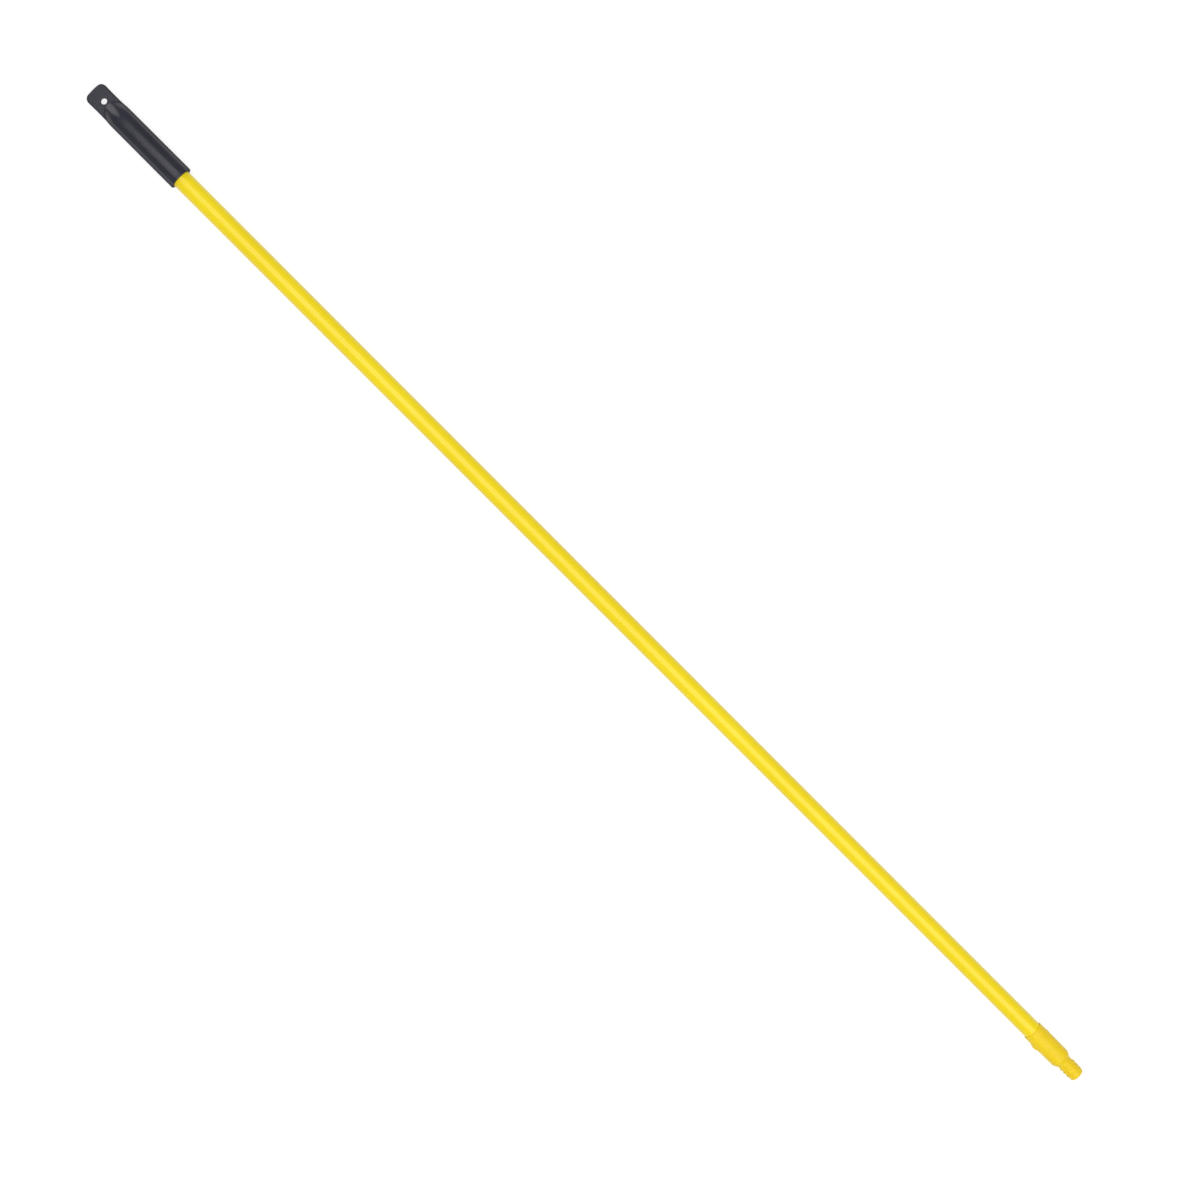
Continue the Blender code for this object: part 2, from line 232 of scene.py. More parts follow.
def quarter_round(rounding, count):
    """A quarter circle's points, each as its two distances back from the corner that it rounds."""
    return [
        (rounding * (1 - sin(angle)), rounding * (1 - cos(angle)))
        for angle in steps(0, pi / 2, count)
    ]


# ---------------------------------------------------------------- materials


def linear(code):
    """An sRGB hex colour as linear red, green, blue and alpha."""
    channels = [int(code[index:index + 2], 16) / 255 for index in (1, 3, 5)]
    light = [c / 12.92 if c <= 0.04045 else ((c + 0.055) / 1.055) ** 2.4 for c in channels]
    return (*light, 1.0)


def add_node(tree, kind, settings=None, links=None):
    """Add one node: settings are its properties, socket values or two ramp stops, links feed it."""
    node = tree.nodes.new("ShaderNode" + kind)
    for key, value in (settings or {}).items():
        if key == "stops":
            for stop, (position, colour) in zip(node.color_ramp.elements, value):
                stop.position = position
                stop.color = linear(colour)
        elif key in node.inputs:
            node.inputs[key].default_value = value
        else:
            setattr(node, key, value)
    for key, source in (links or {}).items():
        tree.links.new(source, node.inputs[key])
    return node


def start_material(name, constants):
    """A material with its shader's constant values set, and the row frame's coordinates."""
    material = bpy.data.materials.new(name)
    material.use_nodes = True
    tree = material.node_tree
    shader = tree.nodes["Principled BSDF"]
    for socket, value in constants.items():
        shader.inputs[socket].default_value = value
    place = add_node(tree, "TexCoord").outputs["Object"]
    return material, tree, shader, place


def polypropylene_extruded_glossy():
    """Polypropylene skin drawn over the steel as one hot sleeve: deep clear yellow, a sharp gloss.

    The die leaves hair-fine lines along the tube, and the cooling skin a faint orange peel.
    """
    material, tree, shader, place = start_material(
        "polypropylene_extruded_glossy",
        {"IOR": 1.49, "Specular IOR Level": 0.36},
    )
    # Pigment drifts slowly along the tube, over 125 mm
    drift = add_node(
        tree, "TexNoise", {"Scale": 1 / (125 * MM), "Detail": 2.0, "Roughness": 0.4}, {"Vector": place},
    )
    pigment = add_node(
        tree, "ValToRGB",
        {"stops": [(0.35, "#e9cf12"), (0.65, "#ecd418")]},
        {"Fac": drift.outputs["Fac"]},
    )
    # Die lines: 0.5 mm apart round the tube, and some 250 mm long; the real ones are finer
    along = add_node(tree, "Mapping", {"Scale": (0.5 / 250, 1.0, 1.0)}, {"Vector": place})
    die = add_node(
        tree, "TexNoise", {"Scale": 1 / (0.5 * MM), "Detail": 3.0, "Roughness": 0.6},
        {"Vector": along.outputs["Vector"]},
    )
    # Orange peel: soft dimples 3 mm apart
    peel = add_node(
        tree, "TexNoise", {"Scale": 1 / (3 * MM), "Detail": 1.5, "Roughness": 0.45}, {"Vector": place},
    )
    gloss = add_node(
        tree, "MapRange", {"From Min": 0.3, "From Max": 0.7, "To Min": 0.12, "To Max": 0.2},
        {"Value": die.outputs["Fac"]},
    )
    lines = add_node(
        tree, "Bump", {"Strength": 1.0, "Distance": 0.003 * MM}, {"Height": die.outputs["Fac"]},
    )
    dimples = add_node(
        tree, "Bump", {"Strength": 1.0, "Distance": 0.02 * MM},
        {"Height": peel.outputs["Fac"], "Normal": lines.outputs["Normal"]},
    )
    tree.links.new(pigment.outputs["Color"], shader.inputs["Base Color"])
    tree.links.new(gloss.outputs["Result"], shader.inputs["Roughness"])
    tree.links.new(dimples.outputs["Normal"], shader.inputs["Normal"])
    return material


def nylon_moulded_satin():
    """Nylon shot into a lightly blasted mould: the tube's yellow, a shade warmer, with a satin skin.

    A little light goes in and comes back, so thin ridges and edges look softly lit. The melt
    leaves faint cloudy flow marks.
    """
    material, tree, shader, place = start_material(
        "nylon_moulded_satin",
        {
            "IOR": 1.53,
            "Specular IOR Level": 0.3,
            "Subsurface Weight": 0.12,
            "Subsurface Radius": (1.0, 0.62, 0.12),
            "Subsurface Scale": 1.2 * MM,
        },
    )
    # Flow marks: clouds 12 mm across, drawn out to twice that along the handle
    stretched = add_node(tree, "Mapping", {"Scale": (0.5, 1.0, 1.0)}, {"Vector": place})
    flow = add_node(
        tree, "TexNoise",
        {"Scale": 1 / (12 * MM), "Detail": 4.0, "Roughness": 0.5, "Distortion": 0.6},
        {"Vector": stretched.outputs["Vector"]},
    )
    clouds = add_node(
        tree, "ValToRGB",
        {"stops": [(0.3, "#e4c30d"), (0.7, "#eacb12")]},
        {"Fac": flow.outputs["Fac"]},
    )
    # Mould texture: a blasted grain of about 0.1 mm, drawn at 0.35 mm so that it shows
    grain = add_node(
        tree, "TexNoise", {"Scale": 1 / (0.35 * MM), "Detail": 2.0, "Roughness": 0.6}, {"Vector": place},
    )
    # Slight sink and polish, 5 mm across
    polish = add_node(
        tree, "TexNoise", {"Scale": 1 / (5 * MM), "Detail": 2.0, "Roughness": 0.5}, {"Vector": place},
    )
    satin = add_node(
        tree, "MapRange", {"From Min": 0.3, "From Max": 0.7, "To Min": 0.42, "To Max": 0.54},
        {"Value": polish.outputs["Fac"]},
    )
    grained = add_node(
        tree, "Bump", {"Strength": 1.0, "Distance": 0.008 * MM}, {"Height": grain.outputs["Fac"]},
    )
    sunk = add_node(
        tree, "Bump", {"Strength": 1.0, "Distance": 0.05 * MM},
        {"Height": polish.outputs["Fac"], "Normal": grained.outputs["Normal"]},
    )
    tree.links.new(clouds.outputs["Color"], shader.inputs["Base Color"])
    tree.links.new(satin.outputs["Result"], shader.inputs["Roughness"])
    tree.links.new(sunk.outputs["Normal"], shader.inputs["Normal"])
    return material


def polypropylene_moulded_black():
    """Black polypropylene from a spark-eroded mould: a cool near-black with a broad grey sheen.

    The eroded grain scatters the gloss, so a soft ridge of light runs along the top.
    """
    material, tree, shader, place = start_material("polypropylene_moulded_black", {"IOR": 1.49})
    # Carbon black is never quite even: patches 20 mm across
    patch = add_node(
        tree, "TexNoise", {"Scale": 1 / (20 * MM), "Detail": 3.0, "Roughness": 0.5}, {"Vector": place},
    )
    tone = add_node(
        tree, "ValToRGB",
        {"stops": [(0.3, "#1f1f2a"), (0.7, "#262632")]},
        {"Fac": patch.outputs["Fac"]},
    )
    # Eroded grain of about 0.15 mm, drawn at 0.5 mm so that it shows
    grain = add_node(
        tree, "TexNoise", {"Scale": 1 / (0.5 * MM), "Detail": 3.0, "Roughness": 0.65}, {"Vector": place},
    )
    # Rubbed smoother by hands in places, 15 mm across
    handled = add_node(
        tree, "TexNoise", {"Scale": 1 / (15 * MM), "Detail": 2.0, "Roughness": 0.5}, {"Vector": place},
    )
    rubbed = add_node(
        tree, "MapRange", {"From Min": 0.3, "From Max": 0.7, "To Min": 0.2, "To Max": 0.27},
        {"Value": handled.outputs["Fac"]},
    )
    # Both sides come from the mould's steep walls, left coarse and dull: the gloss fades where
    # the surface leans 45 to 66 degrees from level, which is where its normal's Z is 0.7 to 0.4
    normal = add_node(tree, "TexCoord").outputs["Normal"]
    upward = add_node(tree, "SeparateXYZ", None, {"Vector": normal}).outputs["Z"]
    steep = add_node(tree, "Math", {"operation": "ABSOLUTE"}, {0: upward})
    share = add_node(
        tree, "MapRange",
        {"interpolation_type": "SMOOTHSTEP", "From Min": 0.7, "From Max": 0.4},
        {"Value": steep.outputs["Value"]},
    )
    sheen = add_node(
        tree, "Mix", {"data_type": "FLOAT", "B": 0.8},
        {"Factor": share.outputs["Result"], "A": rubbed.outputs["Result"]},
    )
    eroded = add_node(
        tree, "Bump", {"Strength": 1.0, "Distance": 0.02 * MM}, {"Height": grain.outputs["Fac"]},
    )
    tree.links.new(tone.outputs["Color"], shader.inputs["Base Color"])
    tree.links.new(sheen.outputs["Result"], shader.inputs["Roughness"])
    tree.links.new(eroded.outputs["Normal"], shader.inputs["Normal"])
    return material


def steel_hot_dip_galvanised():
    """Thin steel strip, zinc-dipped, rolled and welded: cold grey metal with frosty spangles."""
    material, tree, shader, place = start_material("steel_hot_dip_galvanised", {"Metallic": 1.0})
    # Zinc crystals 7 mm across
    spangle = add_node(
        tree, "TexVoronoi", {"Scale": 1 / (7 * MM), "Randomness": 1.0}, {"Vector": place},
    )
    facets = add_node(tree, "SeparateColor", None, {"Color": spangle.outputs["Color"]})
    zinc = add_node(
        tree, "ValToRGB",
        {"stops": [(0.0, "#a4a8ab"), (1.0, "#c6cacd")]},
        {"Fac": facets.outputs["Red"]},
    )
    frost = add_node(
        tree, "MapRange", {"To Min": 0.28, "To Max": 0.5}, {"Value": facets.outputs["Green"]},
    )
    # Rolling marks along the strip, 0.4 mm apart and 40 mm long
    along = add_node(tree, "Mapping", {"Scale": (0.4 / 40, 1.0, 1.0)}, {"Vector": place})
    marks = add_node(
        tree, "TexNoise", {"Scale": 1 / (0.4 * MM), "Detail": 2.0}, {"Vector": along.outputs["Vector"]},
    )
    rolled = add_node(
        tree, "Bump", {"Strength": 1.0, "Distance": 0.01 * MM}, {"Height": marks.outputs["Fac"]},
    )
    tree.links.new(zinc.outputs["Color"], shader.inputs["Base Color"])
    tree.links.new(frost.outputs["Result"], shader.inputs["Roughness"])
    tree.links.new(rolled.outputs["Normal"], shader.inputs["Normal"])
    return material


def acrylic_opal_backlit():
    """Opal acrylic table lit from below: an even white that leaves only a breath of shadow."""
    material, tree, shader, place = start_material(
        "acrylic_opal_backlit",
        {
            "Roughness": 0.9,
            "Specular IOR Level": 0.1,
            "Emission Color": linear("#ffffff"),
            "Emission Strength": TABLE_GLOW,
        },
    )
    # The light below is never quite even: clouds a third of a metre across
    cloud = add_node(tree, "TexNoise", {"Scale": 3.0, "Detail": 2.0}, {"Vector": place})
    white = add_node(
        tree, "ValToRGB",
        {"stops": [(0.3, "#898989"), (0.7, "#8b8b8b")]},
        {"Fac": cloud.outputs["Fac"]},
    )
    tree.links.new(white.outputs["Color"], shader.inputs["Base Color"])
    return material


# ---------------------------------------------------------------- mesh making


def skin(rings, looped=False):
    """A closed body over rings of points: looped into a pipe, or capped at its first and last."""
    bm = bmesh.new()
    rows = [[bm.verts.new(point) for point in ring] for ring in rings]
    pairs = list(zip(rows, rows[1:]))
    if looped:
        pairs.append((rows[-1], rows[0]))
    for low, high in pairs:
        for index in range(len(low)):
            following = (index + 1) % len(low)
            bm.faces.new((low[index], low[following], high[following], high[index]))
    if not looped:
        bm.faces.new(rows[0])
        bm.faces.new(rows[-1])
    return bm


def even_angles(around):
    """Evenly spaced angles round the handle's axis, the first half a step from +Y."""
    return [(index + 0.5) / around * tau for index in range(around)]


def about_axis(x, radius, angle):
    """A point at a distance from the handle's axis, turned by an angle round it."""
    return Vector((x, radius * cos(angle), radius * sin(angle)))


def turned(profile, angles):
    """Rings round the handle's axis for a profile of (x, radius) pairs."""
    return [[about_axis(x, radius, angle) for angle in angles] for x, radius in profile]


def outer_corner(x, radius, rounding, count):
    """Profile points that round an outer corner, from the side to the end face."""
    return [(x - back, radius - inward) for back, inward in quarter_round(rounding, count)]


def as_object(name, bm):
    """Turn a bmesh, made about the handle's axis, into an object in the row frame."""
    bmesh.ops.translate(bm, verts=bm.verts, vec=Vector((0, 0, AXIS_HEIGHT)))
    bmesh.ops.recalc_face_normals(bm, faces=bm.faces)
    mesh = bpy.data.meshes.new(name)
    bm.to_mesh(mesh)
    bm.free()
    piece = bpy.data.objects.new(name, mesh)
    bpy.context.scene.collection.objects.link(piece)
    return piece


def combine(piece, tool, operation):
    """Join a tool to a piece, or cut the piece with it, and drop the tool."""
    modifier = piece.modifiers.new(tool.name, "BOOLEAN")
    modifier.object = tool
    modifier.operation = operation
    modifier.solver = "EXACT"
    seen = piece.evaluated_get(bpy.context.evaluated_depsgraph_get())
    mesh = bpy.data.meshes.new_from_object(seen)
    piece.modifiers.clear()
    piece.data = mesh
    bpy.data.objects.remove(tool)


def finish_piece(piece, material, node):
    """Smooth shading, material, and the piece's place in the row."""
    piece.data.shade_smooth()
    piece.data.set_sharp_from_angle(angle=SHARP_ANGLE)
    piece.data.materials.clear()
    piece.data.materials.append(material)
    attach(piece, "root")
    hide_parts(node)


def lathe_body(profile, origin, direction, around):
    """A closed turned body about any axis: profile holds (distance along, radius) pairs."""
    side = direction.orthogonal().normalized()
    other = direction.cross(side)
    rings = []
    for distance, radius in profile:
        ring = []
        for index in range(around):
            angle = index / around * tau
            ring.append(origin + direction * distance + (side * cos(angle) + other * sin(angle)) * radius)
        rings.append(ring)
    return skin(rings)


# ---------------------------------------------------------------- coated tube


def make_coat():
    """The yellow skin, with its cut ends chamfered, and the windows for the two pegs."""
    outer = [
        (TUBE_START_X, TUBE_RADIUS - COAT_CHAMFER),
        (TUBE_START_X + COAT_CHAMFER, TUBE_RADIUS),
    ]
    outer += [
        (x, TUBE_RADIUS)
        for x in steps(TUBE_START_X + COAT_CHAMFER, TUBE_END_X - COAT_CHAMFER, TUBE_ROWS)[1:]
    ]
    outer.append((TUBE_END_X, TUBE_RADIUS - COAT_CHAMFER))
    inner = [(TUBE_END_X, COAT_BORE_RADIUS), (TUBE_START_X, COAT_BORE_RADIUS)]
    rings = turned(outer + inner, even_angles(TUBE_AROUND))
    coat = as_object("yellow_coated_tube", skin(rings, looped=True))
    reach = 2 * TUBE_RADIUS
    radius = PEG_D / 2 + WINDOW_CLEARANCE
    drill = lathe_body(
        [(-reach, radius), (reach, radius)], Vector((PEG_X, 0, 0)), Vector((0, 1, 0)), PEG_AROUND,
    )
    combine(coat, as_object("window_drill", drill), "DIFFERENCE")
    return coat


# ---------------------------------------------------------------- hang-up grip


def smooth_max(first, second, softness):
    """The greater of two values, with the crease between them softened."""
    return (first + second + hypot(first - second, softness)) / 2


def grip_angles():
    """Angles round the grip, closer together at its sides, where the tab's edges are thin."""
    per_quarter = GRIP_AROUND // 4
    quarter = []
    for index in range(per_quarter):
        share = (index + 0.5) / per_quarter
        quarter.append(mix(share, share**2, SIDE_CROWDING) * pi / 2)
    back = quarter[::-1]
    return (
        quarter
        + [pi - angle for angle in back]
        + [pi + angle for angle in quarter]
        + [tau - angle for angle in back]
    )


def slab_reach(angle, half_width, half_height, corner):
    """Distance from the axis to the outline of a rounded rectangle."""
    y, z = abs(cos(angle)), abs(sin(angle))
    corner_y, corner_z = half_width - corner, half_height - corner
    reach = min(half_width / y, half_height / z)
    if reach * y > corner_y and reach * z > corner_z:
        along = corner_y * y + corner_z * z
        reach = along + sqrt(along**2 - corner_y**2 - corner_z**2 + corner**2)
    return reach


def over_end(distance, rounding):
    """How far an edge has drawn in at a distance from the tab's end, on a quarter circle."""
    if distance >= rounding:
        return 0.0
    return rounding - sqrt(rounding**2 - (rounding - distance) ** 2)


def body_reach(distance, angle):
    """Distance from the axis to the body, whose round top and underside sink into the tab."""
    draft = max(distance - SLOPE_END, 0) / (GRIP_LENGTH - SLOPE_END)
    radius = mix(BODY_RADIUS, RIM_RADIUS, draft)
    sunk = smooth_max((SLOPE_END - distance) / SLOPE_LENGTH, 0, SLOPE_SHOULDER)
    drop = sunk * (BODY_RADIUS - TAB_THICKNESS / 2 + SLOPE_SINK)
    return sqrt(radius**2 - (drop * cos(angle)) ** 2) - drop * abs(sin(angle))


def grip_ring(distance, shrink=1.0):
    """The grip's outline across: the flat slab, or the body where it stands out of the slab."""
    pinch = WAIST_NARROWING * smoothstep(distance / TAB_LENGTH)
    half_width = BODY_RADIUS - TAB_NARROWING - pinch - over_end(distance, TAB_CORNER)
    half_height = TAB_THICKNESS / 2 - over_end(distance, TAB_EDGE)
    corner = TAB_EDGE - over_end(distance, TAB_EDGE) / 2
    crease = SLOPE_CREASE * smoothstep((SLOPE_END - distance) / (SLOPE_LENGTH / 2))
    bow = TAB_END_BOW * (1 - smoothstep(distance / TAB_LENGTH))
    ring = []
    for angle in grip_angles():
        if distance < SLOPE_END:
            reach = slab_reach(angle, half_width, half_height, corner)
            if distance >= TAB_LENGTH - SLOPE_CREASE:
                reach = smooth_max(reach, body_reach(distance, angle), crease)
        else:
            reach = body_reach(distance, angle)
        # The mould's two halves meet along both sides and leave a hair of flash
        if abs(sin(angle)) < sin(pi / GRIP_AROUND):
            reach += MOULD_LINE
        y, z = reach * cos(angle) * shrink, reach * sin(angle) * shrink
        fall_back = bow * (y / BODY_RADIUS) ** 2
        ring.append(Vector((TAB_END_X + distance + fall_back, y, z)))
    return ring


def hang_hole_drill():
    """A drill that flares over the tab's faces, so that the hole's rims come out rounded."""
    radius = HANG_HOLE_D / 2
    half = TAB_THICKNESS / 2
    upper = [(half - back, radius + outward) for back, outward in quarter_round(HANG_HOLE_EDGE, 8)]
    upper.append((TAB_THICKNESS, radius + HANG_HOLE_EDGE))
    lower = [(-distance, flared) for distance, flared in reversed(upper)]
    drill = lathe_body(
        lower + upper, Vector((HANG_HOLE_X, 0, 0)), Vector((0, 0, 1)), HANG_HOLE_AROUND,
    )
    return as_object("hang_hole_drill", drill)


def make_grip():
    """Blind bore, rounded rim, long body with a slight draft, slope, and flat tab with its hole."""
    bore_bottom_x = TAB_END_X + BORE_BOTTOM
    fillet = [
        (bore_bottom_x + forward, BORE_RADIUS - inward)
        for forward, inward in quarter_round(BORE_FILLET, 4)
    ]
    profile = fillet[::-1]
    profile.append((RIM_X - BORE_CHAMFER, BORE_RADIUS))
    profile.append((RIM_X, BORE_RADIUS + BORE_CHAMFER))
    profile += outer_corner(RIM_X, RIM_RADIUS, RIM_ROUND, 6)[::-1]
    rings = turned(profile, grip_angles())
    # From the rim back to the tab: where each stretch of rings ends, and how many it takes
    stretches = (
        (SLOPE_END + SLOPE_LEAD, 20),
        (SLOPE_END, 24),
        (TAB_LENGTH - CREASE_LEAD, 72),
        (TAB_CORNER, 28),
    )
    distances = [GRIP_LENGTH - 2 * RIM_ROUND]
    for end, count in stretches:
        distances += steps(distances[-1], end, count)[1:]
    distances += [distance for distance, _ in quarter_round(TAB_CORNER, 18)[1:]]
    rings += [grip_ring(distance) for distance in distances]
    # Smaller and smaller rings fill the tab's end face
    rings += [grip_ring(0, shrink) for shrink in (0.75, 0.5, 0.25)]
    grip = as_object("black_hang_grip", skin(rings))
    combine(grip, hang_hole_drill(), "DIFFERENCE")
    return grip


# ---------------------------------------------------------------- threaded ferrule


def thread_height(angle, x):
    """Height of the rounded screw ridge over its root: a right-hand helix, fading at each end."""
    pitches = (x - NECK_X - THREAD_BEFORE_NECK) / THREAD_PITCH
    turn = angle / tau + round(pitches - angle / tau)
    if not 0 < turn < THREAD_TURNS:
        return 0.0
    offset = abs(pitches - turn) * THREAD_PITCH
    flank = (RIDGE_BASE / 2 - offset) / (RIDGE_BASE / 2 - RIDGE_CREST / 2)
    runout = min(turn, THREAD_TURNS - turn) / THREAD_RUNOUT
    return THREAD_DEPTH * smoothstep(flank) * smoothstep(runout)


def thread_ring(x, angles):
    """The threaded nose's outline across, with the ridge where the helix passes."""
    return [about_axis(x, THREAD_ROOT_RADIUS + thread_height(angle, x), angle) for angle in angles]


def collar_radius(share):
    """The collar's barrel shape: fullest at its middle, a little less at its mouth and front."""
    return COLLAR_RADIUS - COLLAR_SWELL * (2 * share - 1) ** 2


def ferrule_rings():
    """From the blind end of the core, out of the mouth and over the outside to the tip's gate."""
    core_end_x = TIP_X - TIP_WALL
    core_corner_x = core_end_x - CORE_CORNER
    profile = [
        (core_end_x, CORE_RADIUS / 2),
        (core_end_x, CORE_RADIUS - CORE_CORNER),
        (core_corner_x, CORE_RADIUS),
    ]
    profile += [(x, CORE_RADIUS) for x in steps(core_corner_x, SHOULDER_X, 6)[1:]]
    profile.append((SHOULDER_X, BORE_RADIUS))
    profile += [(x, BORE_RADIUS) for x in steps(SHOULDER_X, MOUTH_X + MOUTH_ROUND, 20)[1:]]
    profile.append((MOUTH_X, BORE_RADIUS + MOUTH_ROUND))
    profile += [
        (MOUTH_X + forward, collar_radius(0) - inward)
        for inward, forward in quarter_round(MOUTH_ROUND, 4)
    ]
    front = COLLAR_LENGTH - CONE_BLEND
    profile += [
        (MOUTH_X + distance, collar_radius(distance / COLLAR_LENGTH))
        for distance in steps(MOUTH_ROUND, front, 60)[1:]
    ]
    # A parabola eases the corner between the barrel and the cone, and the cone runs on straight
    neck_radius = THREAD_ROOT_RADIUS + NECK_BEAD
    slope = (neck_radius - COLLAR_END_RADIUS) / CONE_LENGTH
    for x in steps(-CONE_BLEND, CONE_BLEND, 6)[1:]:
        drop = slope * (x + CONE_BLEND) ** 2 / (4 * CONE_BLEND)
        profile.append((COLLAR_FRONT_X + x, COLLAR_END_RADIUS + drop))
    profile += [
        (COLLAR_FRONT_X + distance, COLLAR_END_RADIUS + slope * distance)
        for distance in steps(CONE_BLEND, CONE_LENGTH - NECK_BEAD, 10)[1:]
    ]
    # The bead's front face drops to the thread's root with a small hollow
    bead_x = NECK_X - NECK_BEAD
    profile += [
        (bead_x + share * BEAD_HOLLOW, neck_radius - NECK_BEAD * smoothstep(share))
        for share in steps(0, 1, 5)[1:]
    ]
    angles = even_angles(FERRULE_AROUND)
    rings = turned(profile, angles)
    thread_start = bead_x + BEAD_HOLLOW
    thread_end = TIP_X - TIP_ROUND
    rows = round((thread_end - thread_start) / THREAD_ROW)
    rings += [thread_ring(x, angles) for x in steps(thread_start, thread_end, rows)[1:]]
    tip = outer_corner(TIP_X, THREAD_ROOT_RADIUS, TIP_ROUND, 10)[1:]
    tip += [(TIP_X, radius) for radius in steps(tip[-1][1], GATE_RADIUS + GATE_EDGE, 5)[1:]]
    # The gate's dimple, and in its middle the stub, broken off just under the tip's face
    tip += [
        (TIP_X - GATE_DEPTH * 0.3, GATE_RADIUS),
        (TIP_X - GATE_DEPTH, GATE_RADIUS - 2 * GATE_EDGE),
        (TIP_X - GATE_DEPTH, GATE_STUB + GATE_EDGE),
        (TIP_X - GATE_DEPTH * 0.2, GATE_STUB),
        (TIP_X - GATE_DEPTH * 0.1, GATE_STUB * 0.6),
    ]
    return rings + turned(tip, angles)


def pad_height(pad, along, across):
    """A pad's rise over the collar: 0 to 1 along it from the mouth side, -1 to 1 across it."""
    if along < pad["peak"]:
        ridge = sin(along / pad["peak"] * pi / 2)
    else:
        ridge = cos((along - pad["peak"]) / (1 - pad["peak"]) * pi / 2)
    return (pad["rise"] + PAD_SINK) * ridge * sqrt(max(1 - across**2, 0.0)) - PAD_SINK


def pad_body(pad, side):
    """One domed pad, bent round the collar at +Y or -Y, with its foot inside the collar's wall."""
    bm = bmesh.new()
    half_angle = TONGUE_WIDTH / 2 / COLLAR_RADIUS
    end_x = TONGUE_TIP_X - pad["behind_tip"]
    layers = ([], [])
    for along in steps(0, 1, PAD_STEPS):
        x = end_x - pad["length"] * (1 - along)
        for layer in layers:
            layer.append([])
        for turn in steps(-pi / 2, pi / 2, PAD_STEPS):
            across = sin(turn)  # closer together at the pad's sides, where it rises fastest
            angle = across * half_angle
            outer = COLLAR_RADIUS + pad_height(pad, along, across)
            for layer, radius in zip(layers, (outer, COLLAR_RADIUS - PAD_FOOT)):
                point = about_axis(x, radius, angle) * Vector((1, side, 1))
                layer[-1].append(bm.verts.new(point))
    top, foot = layers
    for layer in layers:
        for row, after in zip(layer, layer[1:]):
            for index in range(PAD_STEPS):
                bm.faces.new((row[index], row[index + 1], after[index + 1], after[index]))
    borders = (
        ([row[0] for row in top], [row[0] for row in foot]),
        ([row[-1] for row in top], [row[-1] for row in foot]),
        (top[0], foot[0]),
        (top[-1], foot[-1]),
    )
    for upper, lower in borders:
        for index in range(PAD_STEPS):
            bm.faces.new((upper[index], upper[index + 1], lower[index + 1], lower[index]))
    return bm


def peg_body(side):
    """A locking peg under a tongue, rounded at its end."""
    root = COLLAR_WALL / 4  # how far the peg is rooted in the collar's wall
    profile = [(0, PEG_D / 2)] + outer_corner(root + PEG_DEPTH, PEG_D / 2, PEG_ROUND, 5)
    origin = Vector((PEG_X, side * (BORE_RADIUS + root), 0))
    return lathe_body(profile, origin, Vector((0, -side, 0)), PEG_AROUND)


def slit_body(side):
    """The U-shaped slit round one tongue, closed at its tip."""
    root_x = TONGUE_TIP_X - TONGUE_LENGTH
    far_x = TONGUE_TIP_X + TONGUE_SLIT
    inner = TONGUE_WIDTH / 2
    outer = inner + TONGUE_SLIT
    outline = (
        (root_x, -outer),
        (far_x, -outer),
        (far_x, outer),
        (root_x, outer),
        (root_x, inner),
        (TONGUE_TIP_X, inner),
        (TONGUE_TIP_X, -inner),
        (root_x, -inner),
    )
    near = side * 0.8 * TUBE_RADIUS  # inside the bore, where there is nothing else to cut
    bm = bmesh.new()
    face = bm.faces.new([bm.verts.new((x, near, z)) for x, z in outline])
    grown = bmesh.ops.extrude_face_region(bm, geom=[face])["geom"]
    moved = [item for item in grown if isinstance(item, bmesh.types.BMVert)]
    bmesh.ops.translate(bm, verts=moved, vec=Vector((0, side * 2 * TUBE_RADIUS, 0)))
    return bm


def make_ferrule():
    """Collar, cone and threaded nose, with a pad, a peg and a slit for each of the two tongues."""
    ferrule = as_object("yellow_threaded_ferrule", skin(ferrule_rings()))
    for pad, side in ((HIGH_PAD, -1), (LOW_PAD, 1)):
        combine(ferrule, as_object("pad", pad_body(pad, side)), "UNION")
        combine(ferrule, as_object("peg", peg_body(side)), "UNION")
        combine(ferrule, as_object("slit", slit_body(side)), "DIFFERENCE")
    return ferrule


# ---------------------------------------------------------------- studio


def make_floor(height):
    """A wide pale floor, just under the handle."""
    bm = bmesh.new()
    bmesh.ops.create_grid(bm, x_segments=FLOOR_CELLS, y_segments=FLOOR_CELLS, size=FLOOR_REACH)
    bmesh.ops.translate(bm, verts=bm.verts, vec=Vector((0, 0, height)))
    mesh = bpy.data.meshes.new("studio_floor")
    bm.to_mesh(mesh)
    bm.free()
    mesh.materials.append(acrylic_opal_backlit())
    floor = bpy.data.objects.new("studio_floor", mesh)
    bpy.context.scene.collection.objects.link(floor)
    floor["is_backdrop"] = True


def add_panel(name, length, width, radiance, place, facing):
    """A flat soft light of one even brightness, its length along X or, if it stands, along Y."""
    light = bpy.data.lights.new(name, "AREA")
    light.shape = "RECTANGLE"
    light.size = length
    light.size_y = width
    light.energy = radiance * pi * length * width
    lamp = bpy.data.objects.new(name, light)
    lamp.location = place
    lamp.rotation_euler = facing
    lamp.visible_camera = False
    bpy.context.scene.collection.objects.link(lamp)


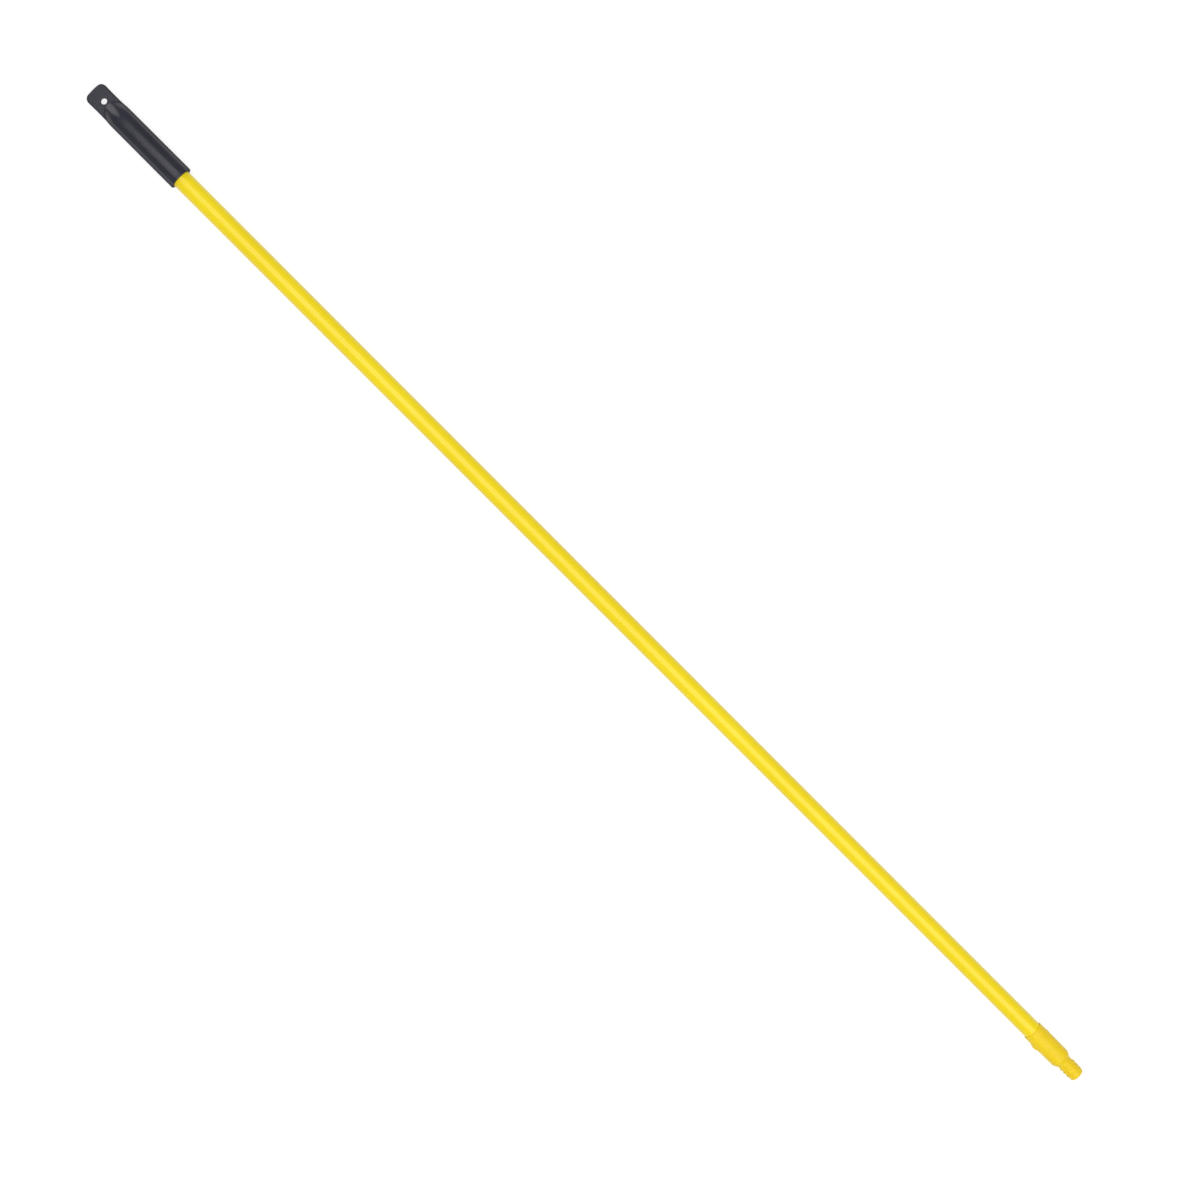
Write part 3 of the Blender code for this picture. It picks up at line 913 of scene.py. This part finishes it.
def make_lights():
    """A long softbox overhead, which draws the streak, and a standing panel beyond the grip."""
    softbox_length = SOFTBOX_END_X - SOFTBOX_START_X
    softbox_x = (SOFTBOX_END_X + SOFTBOX_START_X) / 2
    add_panel(
        "softbox", softbox_length, SOFTBOX_WIDTH, SOFTBOX_RADIANCE,
        (softbox_x, -SOFTBOX_SHIFT, SOFTBOX_HEIGHT), (0, 0, 0),
    )
    add_panel(
        "end_panel", PANEL_WIDTH, PANEL_HEIGHT, PANEL_RADIANCE,
        (PANEL_X, 0, PANEL_HEIGHT / 2 + PANEL_FOOT), (pi / 2, 0, -pi / 2),
    )


def make_sky():
    """An even, dim room all round."""
    world = bpy.data.worlds.new("studio_room")
    world.use_nodes = True
    background = world.node_tree.nodes["Background"]
    background.inputs["Color"].default_value = linear("#ffffff")
    background.inputs["Strength"].default_value = SKY_RADIANCE
    bpy.context.scene.world = world


def make_camera():
    """The camera, placed by its distance, lean and roll from the point that it looks at."""
    away = Vector((-sin(CAMERA_LEAN), 0, cos(CAMERA_LEAN)))
    along = Vector((cos(CAMERA_LEAN), 0, sin(CAMERA_LEAN)))
    across = Vector((0, 1, 0))
    right = along * cos(CAMERA_ROLL) + across * sin(CAMERA_ROLL)
    up = across * cos(CAMERA_ROLL) - along * sin(CAMERA_ROLL)
    lens = bpy.data.cameras.new("camera")
    lens.lens = CAMERA_LENS
    lens.sensor_width = SENSOR_WIDTH
    lens.clip_end = CAMERA_REACH
    camera = bpy.data.objects.new("camera", lens)
    matrix = Matrix((right, up, away)).transposed().to_4x4()
    middle_x = (TAB_END_X + TIP_X) / 2
    aim = Vector((middle_x + CAMERA_AIM[0], CAMERA_AIM[1], AXIS_HEIGHT))
    matrix.translation = aim + away * CAMERA_DISTANCE
    camera.matrix_world = matrix
    bpy.context.scene.collection.objects.link(camera)
    bpy.context.scene.camera = camera
    bpy.context.scene.view_settings.view_transform = "Standard"


make_camera()
make_lights()
make_sky()

finish_piece(make_coat(), polypropylene_extruded_glossy(), "coating_sleeve")
finish_piece(make_grip(), polypropylene_moulded_black(), "hang_grip")
finish_piece(make_ferrule(), nylon_moulded_satin(), "threaded_ferrule")
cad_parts["steel_tube"].material_slots[0].material = steel_hot_dip_galvanised()

make_floor(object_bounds()[0].z - FLOOR_GAP)
